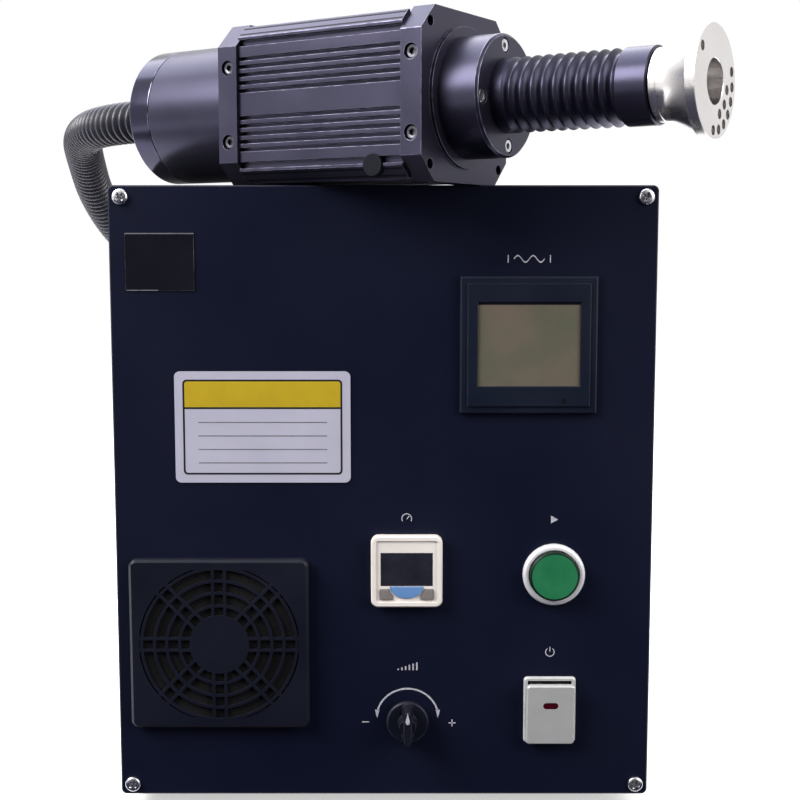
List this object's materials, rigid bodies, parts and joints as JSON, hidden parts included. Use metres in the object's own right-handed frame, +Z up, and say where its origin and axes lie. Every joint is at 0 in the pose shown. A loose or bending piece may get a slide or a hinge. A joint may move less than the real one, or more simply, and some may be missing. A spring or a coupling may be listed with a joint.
{
  "type": "plasma cleaner",
  "caption": "Bench cabinet with meter, gauge, fan guard and controls, and a rotary plasma torch lying on top on a corrugated hose.",
  "frame": {"origin": "on the bench, under the middle of the cabinet", "axes": "+X to the right as the user faces the panel, -Y towards the user, +Z up"},
  "size_m": [0.3869, 0.5281, 0.4218],
  "materials": {
    "powder_black": "fine satin powder coat",
    "panel_black": "satin black anodised plate",
    "anodised_black": "satin black anodised",
    "rail_aluminium": "mill finish",
    "screw_steel": "nickel plated",
    "screw_black": "blackened steel",
    "rubber_black": "matte",
    "plastic_black": "fine moulded",
    "filter_foam": "open-cell foam",
    "meter_glass": "grey-olive display window",
    "gauge_white": "light gloss",
    "gauge_glass": "dark display window",
    "key_blue": "satin",
    "key_grey": "satin",
    "button_ring": "satin chrome",
    "button_green": "smooth",
    "contact_plastic": "moulded",
    "nut_steel": "zinc plated",
    "rocker_silver": "silver metallic",
    "lamp_red": "translucent red",
    "name_black": "blank gloss black",
    "label_white": "blank white",
    "fitting_brass": "nickel-free brass",
    "valve_body": "machined",
    "gland_nylon": "nylon",
    "transformer_iron": "varnished",
    "board_green": "solder mask",
    "stator_iron": "laminated",
    "electrode_ceramic": "ceramic insulator with its rod",
    "nozzle_steel": "turned stainless steel",
    "hose_black": "corrugated nylon"
  },
  "bodies": {
    "cabinet": {"air_fitting": "fitting_brass", "base_plate": "powder_black", "case_screws": "screw_black", "case_wrap": "powder_black", "control_board": "board_green", "corner_rails": "rail_aluminium", "corner_screws": "screw_steel", "fan_frame": "plastic_black", "fan_screws": "screw_steel", "filter_pad": "filter_foam", "foot_screws": "screw_steel", "front_panel": "panel_black", "gauge_housing": "gauge_white", "gauge_window": "gauge_glass", "guard_base": "plastic_black", "guard_cover": "plastic_black", "high_voltage_transformer": "transformer_iron", "hose": "hose_black", "hose_gland": "gland_nylon", "label_plate": "label_white", "mains_inlet": "plastic_black", "meter_housing": "plastic_black", "meter_lens": "meter_glass", "name_plate": "name_black", "pot_body": "plastic_black", "power_supply": "rail_aluminium", "rear_panel": "powder_black", "rocker_frame": "rocker_silver", "rubber_feet": "rubber_black", "solenoid_valve": "valve_body", "start_contacts": "contact_plastic", "start_nut": "nut_steel", "start_ring": "button_ring"},
    "torch": {"torch_barrel": "anodised_black", "front_plate": "anodised_black", "rear_plate": "anodised_black", "plate_screws": "screw_black", "boss_flange": "anodised_black", "boss_screws": "screw_steel", "neck_sleeve": "anodised_black", "rear_cap": "anodised_black", "end_cover": "anodised_black", "torch_gland": "gland_nylon", "motor_stator": "stator_iron", "bearings": "rail_aluminium", "electrode": "electrode_ceramic", "side_plug": "gland_nylon"},
    "spinning_head": {"nozzle_head": "nozzle_steel", "spindle": "nozzle_steel", "motor_rotor": "stator_iron"},
    "fan": {"fan_rotor": "plastic_black"},
    "start_cap": {"start_cap": "button_green"},
    "rocker": {"rocker_paddle": "rocker_silver", "rocker_lens": "lamp_red"},
    "knob": {"power_knob": "plastic_black", "pot_shaft": "nut_steel"},
    "set_key": {"set_key": "key_blue"},
    "up_key": {"up_key": "key_grey"},
    "down_key": {"down_key": "key_grey"}
  },
  "joints": [
    {"name": "torch_lift", "type": "slide", "parent": "cabinet", "child": "torch", "axis": [0, 0, 1], "range_m": [0, 0.05], "deforming": ["hose"]},
    {"name": "nozzle_spin", "type": "hinge", "parent": "torch", "child": "spinning_head", "pos_m": [0.042, -0.1632, 0.3794], "axis": [0.8362, -0.5484, 0], "continuous": true},
    {"name": "fan_spin", "type": "hinge", "parent": "cabinet", "child": "fan", "pos_m": [-0.0878, -0.133, 0.0943], "axis": [0, 1, 0], "continuous": true},
    {"name": "start_cap_press", "type": "slide", "parent": "cabinet", "child": "start_cap", "axis": [0, 1, 0], "range_m": [0, 0.003], "stiffness_N_per_m": 400, "springref_m": -0.0015},
    {"name": "rocker_tip", "type": "hinge", "parent": "cabinet", "child": "rocker", "pos_m": [0.0893, -0.1475, 0.0569], "axis": [-1, 0, 0], "range_deg": [0, 14]},
    {"name": "knob_turn", "type": "hinge", "parent": "cabinet", "child": "knob", "pos_m": [0.0127, -0.15, 0.0513], "axis": [0, 1, 0], "range_deg": [-150, 150]},
    {"name": "set_key_press", "type": "slide", "parent": "cabinet", "child": "set_key", "axis": [0, 1, 0], "range_m": [0, 0.0005], "stiffness_N_per_m": 800, "springref_m": -0.00025},
    {"name": "up_key_press", "type": "slide", "parent": "cabinet", "child": "up_key", "axis": [0, 1, 0], "range_m": [0, 0.0005], "stiffness_N_per_m": 800, "springref_m": -0.00025},
    {"name": "down_key_press", "type": "slide", "parent": "cabinet", "child": "down_key", "axis": [0, 1, 0], "range_m": [0, 0.0005], "stiffness_N_per_m": 800, "springref_m": -0.00025}
  ]
}
